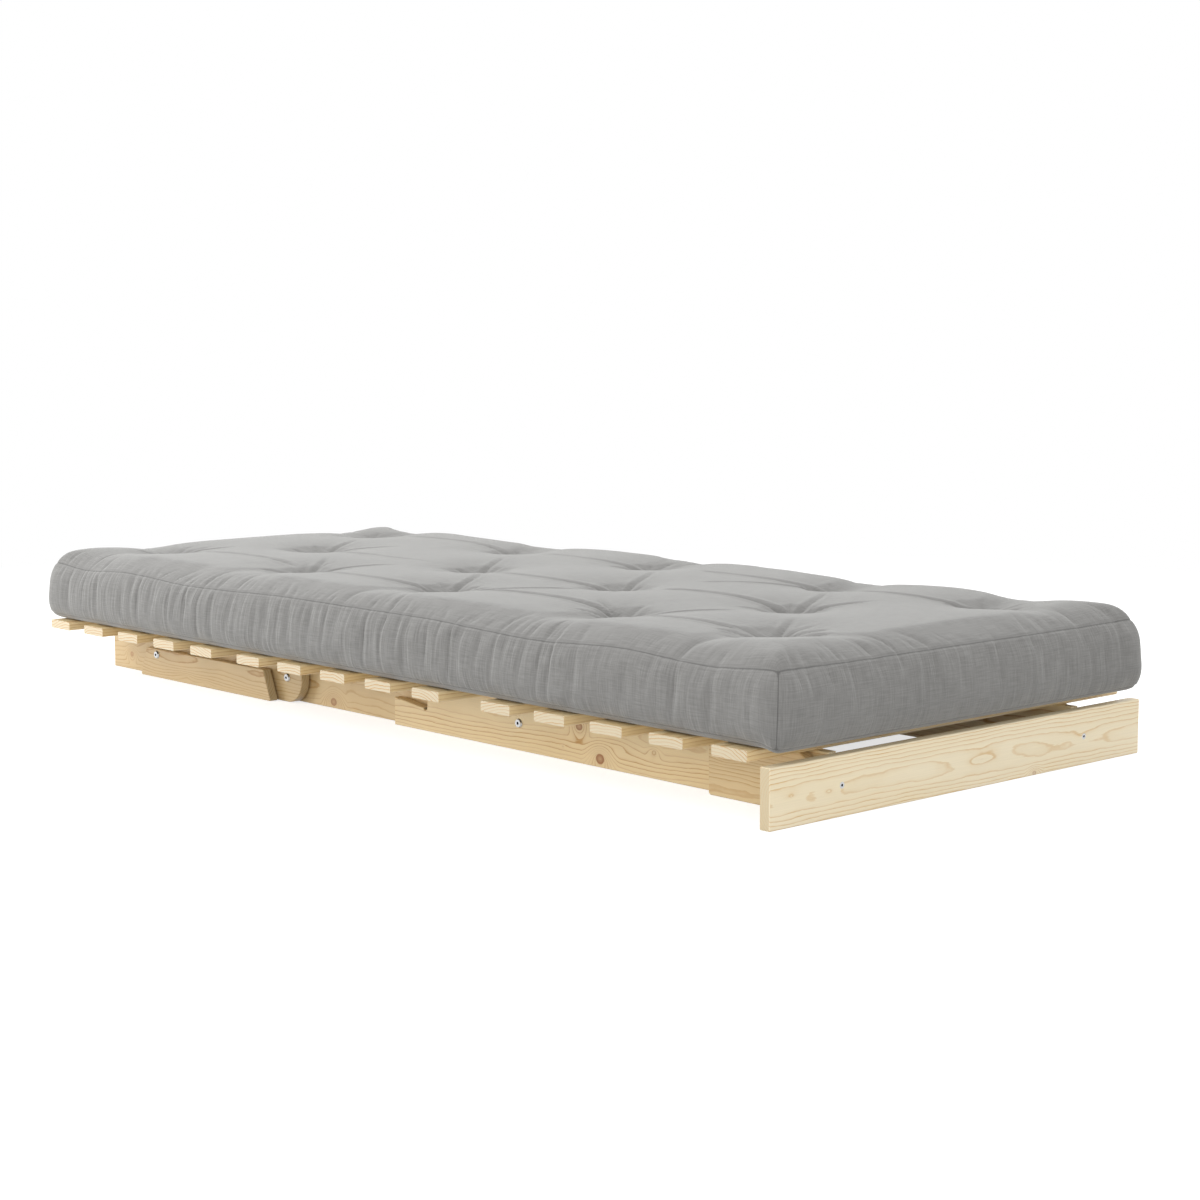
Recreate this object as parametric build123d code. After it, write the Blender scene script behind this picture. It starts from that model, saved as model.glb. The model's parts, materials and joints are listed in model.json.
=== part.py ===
"""Futon sofa bed: three slatted pine sections in a row, hinged to each other, with one tufted mattress on top.

The seat section stands behind the front board. The back section turns up about the seat pivot, and the head
section folds down behind it until its rail ends stand in the notches of the seat rails, which makes the sofa.
With the back flat, the head section can be raised on two prop legs instead. Two front legs swing down to tip
the seat. Millimetres, +Z up, front board towards -Y. Lengths along the bed are stations, measured from the
front face of the front board. The origin is the middle of the bed's footprint, on the floor.
"""
from build123d import *
from math import asin, atan2, cos, degrees, hypot, radians, sin, tan
import os

# ---- boards ----
BED_WIDTH = 900.0  # length of every slat and of the front board
RAIL_HEIGHT = 94.0
RAIL_THICKNESS = 18.0
BOARD_HEIGHT = 92.0
BOARD_THICKNESS = 20.0
EDGE_EASE = 1.2  # chamfer round the faces of rails, legs and front board

# ---- slats ----
SLAT_WIDTH = 72.0
SLAT_THICKNESS = 17.0
SLAT_PITCH = 131.5
SLATS_PER_SECTION = 5
SLAT_EDGE_EASE = 2.0
FIRST_SEAT_SLAT_GAP = 25.0  # from the back of the front board
FIRST_BACK_SLAT_GAP = 35.2  # from the seat pivot
FIRST_HEAD_SLAT_GAP = 38.0  # from the head pivot
LAST_SLAT_OVERHANG = 1.0  # last slat past the end of the head rail

# ---- where the rails and legs stand, side by side ----
LEG_INSET = 123.0  # outer face of the legs, in from the slat ends
LAYER_GAP = 4.0  # left between two boards on one pivot, for the washer

# ---- pivots, all at half the rail's height ----
LEG_PIVOT_FROM_BOARD = 55.0  # from the back of the front board
SEAT_PIVOT_FROM_BOARD = 697.7
BACK_LENGTH = 680.5  # seat pivot to head pivot
PROP_PIVOT_FROM_HEAD = 430.5
HEAD_RAIL_REACH = 635.0  # head pivot to the square end of the head rail

# ---- legs ----
FRONT_LEG_REACH = 170.0  # pivot to the foot
FRONT_LEG_FOOT_RADIUS = 5.0
PROP_HEIGHT = 59.0
PROP_TOE_REACH = 404.2  # prop pivot to the toe of the slanted foot, along the floor when stowed
PROP_HEEL_REACH = 63.2
PROP_END_SLANT = 23.5  # how far each end leans in over the height of the leg
PROP_CORNER_RADIUS = 3.0

# ---- how far the sections turn, in degrees ----
BACK_RISE = 68.5
HEAD_FOLD = 154.0

# ---- notch in the seat rail ----
NOTCH_FLOOR_SLOPE = 6.6  # degrees, falling towards the front
NOTCH_CLEARANCE = 0.6
NOTCH_RELIEF_RADIUS = 5.0
SEAT_RAIL_END_CLEARANCE = 0.5

# ---- fasteners ----
BOLT_DIAMETER = 8.0
BOLT_HEAD_DIAMETER = 16.0
BOLT_HEAD_HEIGHT = 3.2
BOLT_HEAD_TOP_DIAMETER = 13.0
HEX_SOCKET = 5.0  # across flats
HEX_SOCKET_DEPTH = 2.2
NUT_WIDTH = 13.0  # across flats
NUT_HEIGHT = 8.0
BOLT_PAST_NUT = 1.5
WASHER_DIAMETER = 22.0
WASHER_SIDES = 16
BORE_SIDES = 16
AXIAL_PLAY = 0.2
RADIAL_PLAY = 0.05
BOARD_SCREW_DIAMETER = 7.0
BOARD_SCREW_LENGTH = 60.0
BOARD_SCREW_HEAD_DIAMETER = 10.0
BOARD_SCREW_HEAD_DEPTH = 3.0
BOARD_SCREW_SOCKET = 4.0
BOARD_SCREW_SOCKET_DEPTH = 2.0

# ---- mattress ----
MATTRESS_WIDTH = 884.0
MATTRESS_THICKNESS = 147.0
MATTRESS_FRONT_OVERHANG = 8.0  # past the face of the front board
MATTRESS_HEAD_OVERHANG = 34.0  # past the last slat
MATTRESS_CORNER_RADIUS = 45.0
MATTRESS_EDGE_SLOPE = 24.0
TUFT_ROWS = {  # out from the middle of the bed: stations of the tufts in that row
    -246.0: (188.0, 525.0, 988.0, 1408.0, 1892.0),
    -11.0: (368.0, 787.0, 1187.0, 1702.0),
    264.0: (188.0, 525.0, 995.0, 1404.0, 1885.0),
}
TUFT_DEPTH = 27.0
TUFT_REACH = 125.0  # how far from its middle each tuft draws the top down
TUFT_BOTTOM = 10.0
TUFT_SIDES = 8
MATTRESS_REST_GAP = 0.3
MATTRESS_SIDE_GAP = 0.5  # between the pieces that part when a section turns

# ---- worked out from the values above ----
PIVOT_HEIGHT = RAIL_HEIGHT / 2
SLAT_TOP = RAIL_HEIGHT + SLAT_THICKNESS
LEG_PIVOT = BOARD_THICKNESS + LEG_PIVOT_FROM_BOARD
SEAT_PIVOT = BOARD_THICKNESS + SEAT_PIVOT_FROM_BOARD
HEAD_PIVOT = SEAT_PIVOT + BACK_LENGTH
PROP_PIVOT = HEAD_PIVOT + PROP_PIVOT_FROM_HEAD
HEAD_END = HEAD_PIVOT + HEAD_RAIL_REACH
LAYER_PITCH = RAIL_THICKNESS + LAYER_GAP
LEG_FACE = BED_WIDTH / 2 - LEG_INSET  # outer faces, out from the middle of the bed
SIDE_RAIL_FACE = LEG_FACE - LAYER_PITCH
BACK_RAIL_FACE = SIDE_RAIL_FACE - LAYER_PITCH
BED_END = HEAD_END + LAST_SLAT_OVERHANG + MATTRESS_HEAD_OVERHANG
MIDDLE = (BED_END - MATTRESS_FRONT_OVERHANG) / 2  # station of the origin

# where the head rail's end comes to stand when the bed is a sofa
HEAD_LEAN = radians(BACK_RISE - HEAD_FOLD)
FOOT_STATION = SEAT_PIVOT + BACK_LENGTH * cos(radians(BACK_RISE)) + HEAD_RAIL_REACH * cos(HEAD_LEAN)
FOOT_HEIGHT = PIVOT_HEIGHT + BACK_LENGTH * sin(radians(BACK_RISE)) + HEAD_RAIL_REACH * sin(HEAD_LEAN)
FOOT_BACK = (FOOT_STATION - PIVOT_HEIGHT * sin(HEAD_LEAN), FOOT_HEIGHT + PIVOT_HEIGHT * cos(HEAD_LEAN))
FOOT_FRONT = (FOOT_STATION + PIVOT_HEIGHT * sin(HEAD_LEAN), FOOT_HEIGHT - PIVOT_HEIGHT * cos(HEAD_LEAN))
SEAT_RAIL_END = FOOT_BACK[0] - SEAT_RAIL_END_CLEARANCE
NOTCH_WALL = FOOT_FRONT[0] - NOTCH_CLEARANCE

# how far the seat tips on its front legs, and so how far those swing to stand flat on the floor
TIP_RADIUS = hypot(SEAT_RAIL_END - LEG_PIVOT, PIVOT_HEIGHT)
SEAT_TIP = degrees(asin(FRONT_LEG_REACH / TIP_RADIUS) - atan2(PIVOT_HEIGHT, SEAT_RAIL_END - LEG_PIVOT))
FRONT_LEG_SWING = 90.0 - SEAT_TIP

# how far the head section rises when its prop legs stand flat on the floor
PROP_LEAN = 180.0 - degrees(atan2(PROP_HEIGHT, PROP_END_SLANT))
PROP_STAND = PROP_TOE_REACH * sin(radians(PROP_LEAN)) + PIVOT_HEIGHT * cos(radians(PROP_LEAN))
HEAD_RAISE = degrees(asin((PROP_STAND - PIVOT_HEIGHT) / PROP_PIVOT_FROM_HEAD))
PROP_SWING = PROP_LEAN - HEAD_RAISE

SIDES = {"left": -1, "right": 1}


def at(side, out, station, height):
    """A point that lies `out` from the middle of the bed, on one side of it."""
    return (side * out, station - MIDDLE, height)


def side_view(station, height, out=0.0):
    """The plane of the side view, centred on a station and a height: x runs back along the bed, y up."""
    return Plane(origin=(out, station - MIDDLE, height), x_dir=(0, 1, 0), z_dir=(1, 0, 0))


def profile(points):
    """A closed outline in the side view, from (station, height) pairs."""
    return make_face(Polyline(*[(0, s - MIDDLE, h) for s, h in points], close=True))


def board(face, side, outer_face, thickness=RAIL_THICKNESS):
    """A side-view outline given the thickness of a board, whose outer face lies at outer_face."""
    inner = outer_face - thickness
    start = inner if side > 0 else -outer_face
    return Pos(start, 0, 0) * extrude(face, amount=thickness, dir=(1, 0, 0))


def ease(solid, size=EDGE_EASE):
    """Takes the sharpness off the edges round the two broad faces of a board."""
    faces = solid.faces().filter_by(Axis.X).sort_by(Axis.X)
    return chamfer(faces[0].edges() + faces[-1].edges(), size)


def rod(side, outer_face, length, diameter, station, height=PIVOT_HEIGHT):
    """A round bar across the bed, from outer_face in towards the middle."""
    centre = at(side, outer_face - length / 2, station, height)
    return Pos(*centre) * Rot(0, 90, 0) * Cylinder(diameter / 2, length)


def drilled(solid, side, outer_face, station, diameter):
    """Drills a pivot hole through a board."""
    hole = rod(side, outer_face + LAYER_GAP, LAYER_GAP + LAYER_PITCH, diameter + 2 * RADIAL_PLAY, station)
    return solid - hole


def round_ended(start, end, round_start, round_end):
    """A board's side view, with a half-round end about a pivot, or a square one."""
    length = end - start
    face = side_view((start + end) / 2, PIVOT_HEIGHT) * Rectangle(length, RAIL_HEIGHT)
    for station, rounded in ((start, round_start), (end, round_end)):
        if rounded:
            face = face + side_view(station, PIVOT_HEIGHT) * Circle(PIVOT_HEIGHT)
    return face


def slat_stations(first):
    """Stations of the middles of one section's slats, from the front."""
    return [first + SLAT_WIDTH / 2 + i * SLAT_PITCH for i in range(SLATS_PER_SECTION)]


SECTION_SLATS = {
    "seat": slat_stations(BOARD_THICKNESS + FIRST_SEAT_SLAT_GAP),
    "back": slat_stations(SEAT_PIVOT + FIRST_BACK_SLAT_GAP),
    "head": slat_stations(HEAD_PIVOT + FIRST_HEAD_SLAT_GAP),
}
SECTION_FACE = {"seat": SIDE_RAIL_FACE, "back": BACK_RAIL_FACE, "head": SIDE_RAIL_FACE}


def front_board():
    """The board across the front, eased all round, bored for its two screws."""
    size = Box(BED_WIDTH, BOARD_THICKNESS, BOARD_HEIGHT)
    body = Pos(0, BOARD_THICKNESS / 2 - MIDDLE, BOARD_HEIGHT / 2) * size
    body = chamfer(body.edges(), EDGE_EASE)
    for side in SIDES.values():
        body = body - board_screw(side, RADIAL_PLAY)
    return body


def along(side, start, length, radius, height):
    """A round bar that runs back along the middle of a seat rail from a station."""
    place = Pos(*at(side, SIDE_RAIL_FACE - RAIL_THICKNESS / 2, start + length / 2, height))
    return place * Rot(90, 0, 0) * Cylinder(radius, length)


def board_screw(side, play=0.0, socket=False):
    """The screw through the front board into the end of a seat rail, its head flush with the board."""
    shank = along(side, 0, BOARD_SCREW_LENGTH, BOARD_SCREW_DIAMETER / 2 + play, PIVOT_HEIGHT)
    head_radius = BOARD_SCREW_HEAD_DIAMETER / 2 + play
    screw = shank + along(side, 0, BOARD_SCREW_HEAD_DEPTH + play, head_radius, PIVOT_HEIGHT)
    if socket:
        place = Pos(*at(side, SIDE_RAIL_FACE - RAIL_THICKNESS / 2, 0, PIVOT_HEIGHT)) * Rot(-90, 0, 0)
        hexagon = place * RegularPolygon(BOARD_SCREW_SOCKET / 2, 6, major_radius=False)
        screw = screw - extrude(hexagon, amount=BOARD_SCREW_SOCKET_DEPTH, dir=(0, 1, 0))
    return screw


def notch():
    """The side view of the place for the head rail's end: a sloping floor, a leaning wall, a round relief."""
    slope = tan(radians(NOTCH_FLOOR_SLOPE))
    low = FOOT_BACK[1] - NOTCH_CLEARANCE
    past = SEAT_RAIL_END + RAIL_THICKNESS
    above = RAIL_HEIGHT + RAIL_THICKNESS
    wall_foot = low - (FOOT_BACK[0] - NOTCH_WALL) * slope
    back_foot = low + (past - FOOT_BACK[0]) * slope
    wall_top = NOTCH_WALL - (above - wall_foot) / tan(-HEAD_LEAN)
    outline = [(NOTCH_WALL, wall_foot), (past, back_foot), (past, above), (wall_top, above)]
    relief = (NOTCH_WALL + NOTCH_RELIEF_RADIUS, wall_foot + NOTCH_RELIEF_RADIUS / 2)
    return profile(outline) + side_view(*relief) * Circle(NOTCH_RELIEF_RADIUS)


def seat_rail(side):
    """A seat rail: square behind the front board, notched at its back end for the folded head section."""
    face = round_ended(BOARD_THICKNESS, SEAT_RAIL_END, False, False) - notch()
    rail = ease(board(face, side, SIDE_RAIL_FACE))
    rail = drilled(rail, side, SIDE_RAIL_FACE, LEG_PIVOT, BOLT_DIAMETER)
    rail = drilled(rail, side, SIDE_RAIL_FACE, SEAT_PIVOT, BOLT_DIAMETER)
    rail = rail - board_screw(side, RADIAL_PLAY)
    return rail


def back_rail(side):
    """A rail of the back section, half-round about both of its pivots."""
    rail = ease(board(round_ended(SEAT_PIVOT, HEAD_PIVOT, True, True), side, BACK_RAIL_FACE))
    for station in (SEAT_PIVOT, HEAD_PIVOT):
        rail = drilled(rail, side, BACK_RAIL_FACE, station, BOLT_DIAMETER)
    return rail


def head_rail(side):
    """A rail of the head section: half-round at its pivot, square at the bed's end."""
    rail = ease(board(round_ended(HEAD_PIVOT, HEAD_END, True, False), side, SIDE_RAIL_FACE))
    rail = drilled(rail, side, SIDE_RAIL_FACE, HEAD_PIVOT, BOLT_DIAMETER)
    rail = drilled(rail, side, SIDE_RAIL_FACE, PROP_PIVOT, BOLT_DIAMETER)
    return rail


def front_leg(side):
    """A front leg, stowed beside the seat rail: half-round at its pivot, a square foot at the other end."""
    foot = LEG_PIVOT + FRONT_LEG_REACH
    leg = board(round_ended(LEG_PIVOT, foot, True, False), side, LEG_FACE)
    corners = leg.edges().filter_by(Axis.X).sort_by(Axis.Y)[-2:]
    leg = ease(fillet(corners, FRONT_LEG_FOOT_RADIUS))
    return drilled(leg, side, LEG_FACE, LEG_PIVOT, BOLT_DIAMETER)


def prop_leg(side):
    """A prop leg, stowed beside the head rail, with both ends slanted to stand flat when it is swung down."""
    toe, heel = PROP_PIVOT - PROP_TOE_REACH, PROP_PIVOT + PROP_HEEL_REACH
    outline = [(toe, 0), (heel, 0), (heel - PROP_END_SLANT, PROP_HEIGHT), (toe + PROP_END_SLANT, PROP_HEIGHT)]
    leg = board(profile(outline), side, LEG_FACE)
    leg = ease(fillet(leg.edges().filter_by(Axis.X), PROP_CORNER_RADIUS))
    return drilled(leg, side, LEG_FACE, PROP_PIVOT, BOLT_DIAMETER)


def slat(section, station):
    """A slat across the bed, its long edges eased."""
    centre = Pos(0, station - MIDDLE, SLAT_TOP - SLAT_THICKNESS / 2)
    body = centre * Box(BED_WIDTH, SLAT_WIDTH, SLAT_THICKNESS)
    return chamfer(body.edges().filter_by(Axis.X), SLAT_EDGE_EASE)


# pivots: station and outer face of the outer board
PIVOTS = {
    "front_leg": (LEG_PIVOT, LEG_FACE),
    "seat_pivot": (SEAT_PIVOT, SIDE_RAIL_FACE),
    "head_pivot": (HEAD_PIVOT, SIDE_RAIL_FACE),
    "prop_leg": (PROP_PIVOT, LEG_FACE),
}
GRIP = 2 * RAIL_THICKNESS + LAYER_GAP  # boards and washer between bolt head and nut


def pivot_bolt(side, station, face):
    """A bolt with a broad conical head and a hexagon socket."""
    top = face + AXIAL_PLAY + BOLT_HEAD_HEIGHT
    place = Pos(*at(side, top - BOLT_HEAD_HEIGHT / 2, station, PIVOT_HEIGHT)) * Rot(0, 90 * side, 0)
    head = place * Cone(BOLT_HEAD_DIAMETER / 2, BOLT_HEAD_TOP_DIAMETER / 2, BOLT_HEAD_HEIGHT)
    reach = AXIAL_PLAY + GRIP + AXIAL_PLAY + NUT_HEIGHT + BOLT_PAST_NUT
    bolt = head + rod(side, face + AXIAL_PLAY, reach, BOLT_DIAMETER, station)
    hexagon = side_view(station, PIVOT_HEIGHT, side * top)
    hexagon = hexagon * RegularPolygon(HEX_SOCKET / 2, 6, major_radius=False)
    return bolt - extrude(hexagon, amount=HEX_SOCKET_DEPTH, dir=(-side, 0, 0))


def flat_ring(side, station, outer_face, thickness, across, sides, turn=0.0):
    """A flat-sided ring on a pivot bolt, with a many-sided bore that just clears the bolt."""
    section = side_view(station, PIVOT_HEIGHT, side * outer_face) * Rot(0, 0, turn)
    outline = section * RegularPolygon(across / 2, sides, major_radius=False)
    bore = section * RegularPolygon(BOLT_DIAMETER / 2 + RADIAL_PLAY, BORE_SIDES, major_radius=False)
    return extrude(outline - bore, amount=thickness, dir=(-side, 0, 0))


def pivot_nut(side, station, face):
    """A hexagon lock nut that bears on the inner board."""
    return flat_ring(side, station, face - GRIP - AXIAL_PLAY, NUT_HEIGHT, NUT_WIDTH, 6)


def pivot_washer(side, station, face):
    """The washer that keeps the two boards of a pivot apart."""
    outer = face - RAIL_THICKNESS - AXIAL_PLAY
    return flat_ring(side, station, outer, LAYER_GAP - 2 * AXIAL_PLAY, WASHER_DIAMETER, WASHER_SIDES)


def tuft(out, station, top):
    """The hollow that one tuft draws into the top of the mattress, with flat sides."""
    turns = [radians(360 / TUFT_SIDES * (number + 0.5)) for number in range(TUFT_SIDES)]
    rings = [[(out + reach * cos(turn), station - MIDDLE + reach * sin(turn), height) for turn in turns]
             for reach, height in ((TUFT_REACH, top), (TUFT_BOTTOM, top - TUFT_DEPTH))]
    outlines = rings + [[rings[0][n - 1], rings[0][n], rings[1][n], rings[1][n - 1]]
                        for n in range(TUFT_SIDES)]
    return Solid(Shell([make_face(Polyline(*outline, close=True)) for outline in outlines]))


def mattress():
    """The whole mattress, corners rounded, top and bottom edges sloped, tufts drawn in."""
    length = BED_END + MATTRESS_FRONT_OVERHANG
    low = SLAT_TOP + MATTRESS_REST_GAP
    body = Pos(0, 0, low + MATTRESS_THICKNESS / 2) * Box(MATTRESS_WIDTH, length, MATTRESS_THICKNESS)
    body = fillet(body.edges().filter_by(Axis.Z), MATTRESS_CORNER_RADIUS)
    top_and_bottom = body.faces().filter_by(Axis.Z)
    body = chamfer(top_and_bottom[0].edges() + top_and_bottom[1].edges(), MATTRESS_EDGE_SLOPE)
    for out, stations in TUFT_ROWS.items():
        for station in stations:
            body = body - tuft(out, station, low + MATTRESS_THICKNESS)
    return body


def fold_plane(station, lean, shift):
    """A plane across the mattress through a pivot, leaning back by lean degrees, moved back by shift."""
    normal = (0, cos(radians(lean)), -sin(radians(lean)))
    origin = (0, station - MIDDLE + shift, PIVOT_HEIGHT)
    return Plane(origin=origin, z_dir=normal)


def between(solid, front, back):
    """What of the mattress lies between two planes, either of which may be left out."""
    if front is not None:
        solid = split(solid, front, keep=Keep.TOP)
    if back is not None:
        solid = split(solid, back, keep=Keep.BOTTOM)
    return solid


def mattress_pieces():
    """The mattress by the section that carries it, with the two wedges that are squeezed when it bends."""
    whole, gap = mattress(), MATTRESS_SIDE_GAP
    seat_lean, head_lean = BACK_RISE / 2, HEAD_RAISE / 2
    seat_end, seat_fold_start = (fold_plane(SEAT_PIVOT, -seat_lean, -s) for s in (gap, 0))
    seat_fold_end, back_start = (fold_plane(SEAT_PIVOT, seat_lean, s) for s in (0, gap))
    back_end, head_fold_start = (fold_plane(HEAD_PIVOT, -head_lean, -s) for s in (gap, 0))
    head_fold_end, head_start = (fold_plane(HEAD_PIVOT, head_lean, s) for s in (0, gap))
    return {
        "mattress_seat": between(whole, None, seat_end),
        "mattress_seat_fold": between(whole, seat_fold_start, seat_fold_end),
        "mattress_back": between(whole, back_start, back_end),
        "mattress_head_fold": between(whole, head_fold_start, head_fold_end),
        "mattress_head": between(whole, head_start, None),
    }


def both(make, *values):
    """The same piece on both sides of the bed, as one group of separate solids."""
    return Compound([make(side, *values).solid() for side in SIDES.values()])


nodes = {"front_board": front_board()}
for name, side in SIDES.items():
    nodes[f"seat_rail_{name}"] = seat_rail(side)
    nodes[f"back_rail_{name}"] = back_rail(side)
    nodes[f"head_rail_{name}"] = head_rail(side)
    nodes[f"front_leg_{name}"] = front_leg(side)
    nodes[f"prop_leg_{name}"] = prop_leg(side)
for section, stations in SECTION_SLATS.items():
    for number, station in enumerate(stations, start=1):
        nodes[f"{section}_slat_{number}"] = slat(section, station)
for pivot, (station, face) in PIVOTS.items():
    nodes[f"{pivot}_bolts"] = both(pivot_bolt, station, face)
    nodes[f"{pivot}_nuts"] = both(pivot_nut, station, face)
    nodes[f"{pivot}_washers"] = both(pivot_washer, station, face)
nodes["front_board_screws"] = both(board_screw, 0.0, True)
nodes.update(mattress_pieces())

os.makedirs("parts", exist_ok=True)
for node, shape in nodes.items():
    export_step(shape, f"parts/{node}.step")

print(f"head end stands at station {FOOT_STATION:.2f}, height {FOOT_HEIGHT:.2f}; origin at station {MIDDLE:.2f}")
print(f"head raise {HEAD_RAISE:.3f} deg, prop swing {PROP_SWING:.3f} deg, ratio {PROP_SWING / HEAD_RAISE:.5f}")
print(f"seat tips {SEAT_TIP:.3f} deg, front leg swing {FRONT_LEG_SWING:.3f} deg")
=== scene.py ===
import json
import math

import bpy
import numpy as np
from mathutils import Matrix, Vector


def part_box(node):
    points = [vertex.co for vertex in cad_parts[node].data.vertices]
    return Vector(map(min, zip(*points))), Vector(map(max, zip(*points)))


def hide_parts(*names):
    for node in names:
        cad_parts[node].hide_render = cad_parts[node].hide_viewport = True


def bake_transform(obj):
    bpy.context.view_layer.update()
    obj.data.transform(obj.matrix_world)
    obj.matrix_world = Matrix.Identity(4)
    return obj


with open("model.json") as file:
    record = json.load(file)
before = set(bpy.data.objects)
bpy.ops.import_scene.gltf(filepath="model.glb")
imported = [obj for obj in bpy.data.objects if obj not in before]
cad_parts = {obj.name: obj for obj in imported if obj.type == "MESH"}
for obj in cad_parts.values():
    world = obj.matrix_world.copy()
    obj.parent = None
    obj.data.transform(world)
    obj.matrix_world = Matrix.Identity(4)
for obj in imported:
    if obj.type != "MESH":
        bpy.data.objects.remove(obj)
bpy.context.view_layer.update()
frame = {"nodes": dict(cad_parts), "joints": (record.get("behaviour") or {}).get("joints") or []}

# Low pine futon bed in three hinged sections under one tufted cotton mattress.
# X runs across the bed, +Y from the front board to the head end, +Z up. Lengths are in metres.

MM = 0.001
scene = bpy.context.scene
chance = np.random.RandomState(41)

# kinds of shader node, and some settings of theirs
MATH, VECTOR_MATH, MIX, RANGE = "Math", "VectorMath", "Mix", "MapRange"
NOISE, BUMP, SPLIT, JOIN = "TexNoise", "Bump", "SeparateXYZ", "CombineXYZ"
COORDINATES, OCCLUSION = "TexCoord", "AmbientOcclusion"
SURFACE, OUTPUT = "BsdfPrincipled", "OutputMaterial"
COLOURS = {"out": "Result", "data_type": "RGBA"}  # has a Mix node mix colours
A, B = 6, 7  # the sockets of a Mix node's two colours
PLUS, TIMES, TIMES_PLUS = [{"operation": name} for name in ("ADD", "MULTIPLY", "MULTIPLY_ADD")]


def colour(code):
    """An sRGB hex colour as linear red, green, blue and alpha."""
    channels = [int(code[i:i + 2], 16) / 255 for i in (1, 3, 5)]
    linear = [c / 12.92 if c <= 0.04045 else ((c + 0.055) / 1.055) ** 2.4 for c in channels]
    return (*linear, 1.0)


def add(tree, kind, *values, out=0, sockets=None, **settings):
    """Adds a shader node with its settings. It sets or links values by order and sockets by name."""
    made = tree.nodes.new("ShaderNode" + kind)
    for name, value in settings.items():
        setattr(made, name, value)
    for socket, value in [*enumerate(values), *(sockets or {}).items()]:
        if isinstance(value, bpy.types.NodeSocket):
            tree.links.new(value, made.inputs[socket])
        else:
            made.inputs[socket].default_value = value
    return made.outputs[out] if made.outputs else made


def show(name, data):
    """Puts an object into the scene."""
    made = bpy.data.objects.new(name, data)
    scene.collection.objects.link(made)
    return made


def new_material(name):
    """A material with an empty node tree."""
    material = bpy.data.materials.new(name)
    material.use_nodes = True
    material.node_tree.nodes.clear()
    return material, material.node_tree


def drawn_noise(tree, place, size, detail, roughness=0.5, **settings):
    """Noise whose features have this size along each axis."""
    scaled = add(tree, "Mapping", place, sockets={"Scale": [1 / length for length in size]})
    return add(tree, NOISE, scaled,
               sockets={"Scale": 1.0, "Detail": detail, "Roughness": roughness}, **settings)


# ---------------- pine

RING_WIDTH = 5.2 * MM  # one year's growth of plantation pine
FIGURE = (420 * MM, 95 * MM, 95 * MM)  # length and breadth of the arches on a flat sawn face
RIPPLE = (60 * MM, 22 * MM, 22 * MM)  # the small waves that every ring has
FIBRE = (70 * MM, 0.9 * MM, 0.9 * MM)  # bundles; single fibres, 0.03 mm, are too fine to show
PITH_WANDER = 34 * MM  # how far the heart of the log strays along a board
RIPPLE_DEPTH, FIBRE_DEPTH = 4.5 * MM, 0.9 * MM  # how far ripples and fibres push a ring aside
STRONG_YEARS = 17 * MM  # breadth of a run of strong or of faint rings


def board_in_row(tree, high, boards, seed):
    """Gives each board of a row its own place in the log, along and across it, and its own tone."""
    first, pitch = boards
    number = add(tree, MATH, high, -first, **PLUS)
    number = add(tree, MATH, add(tree, MATH, number, pitch, operation="DIVIDE"), operation="FLOOR")
    dice = add(tree, "TexWhiteNoise", sockets={"W": number}, noise_dimensions="1D", out="Color")
    dice = add(tree, "SeparateColor", dice).node.outputs
    middle = add(tree, MATH, number, pitch, first + pitch / 2, **TIMES_PLUS)
    across = add(tree, MATH, dice["Green"], 90 * MM, -45 * MM, **TIMES_PLUS)
    high = add(tree, MATH, add(tree, MATH, high, middle, operation="SUBTRACT"), across, **PLUS)
    shift = add(tree, MATH, dice["Red"], 7.0, seed, **TIMES_PLUS)
    tone = add(tree, MATH, dice["Blue"], 0.7, -0.35, **TIMES_PLUS)
    return high, shift, tone


def knots_in(tree, knots, start, run, high, ripple, radius):
    """Swells the rings round each knot. Gives the rings' new radius and how dark the cores are."""
    core = 0.0
    for knot_run, knot_high, size, stretch, swell, dark in knots:
        size *= MM
        beside = add(tree, MATH, run, -start - knot_run * MM, **PLUS)
        beside = add(tree, MATH, beside, 1 / stretch, **TIMES)
        above = add(tree, MATH, high, -knot_high * MM, **PLUS)
        away = add(tree, VECTOR_MATH, add(tree, JOIN, beside, above, 0.0), operation="LENGTH",
                   out="Value")
        away = add(tree, MATH, ripple, 1.5 * MM, away, **TIMES_PLUS)
        close = add(tree, RANGE, away, 0.0, 4.5 * size, 1.0, 0.0)
        close = add(tree, MATH, close, 1.7, operation="POWER")
        radius = add(tree, MATH, close, swell * MM, radius, **TIMES_PLUS)
        disc = add(tree, RANGE, away, 0.9 * size, 1.1 * size, dark, 0.10 * dark,
                   interpolation_type="SMOOTHSTEP")
        for inner, outer, within, beyond in ((0.2, 0.8, 0.6, 1.0), (1.2, 3.0, 1.0, 0.0)):
            fade = add(tree, RANGE, away, inner * size, outer * size, within, beyond)
            disc = add(tree, MATH, disc, fade, **TIMES)
        core = add(tree, MATH, core, disc, operation="MAXIMUM")
    return radius, core


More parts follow.
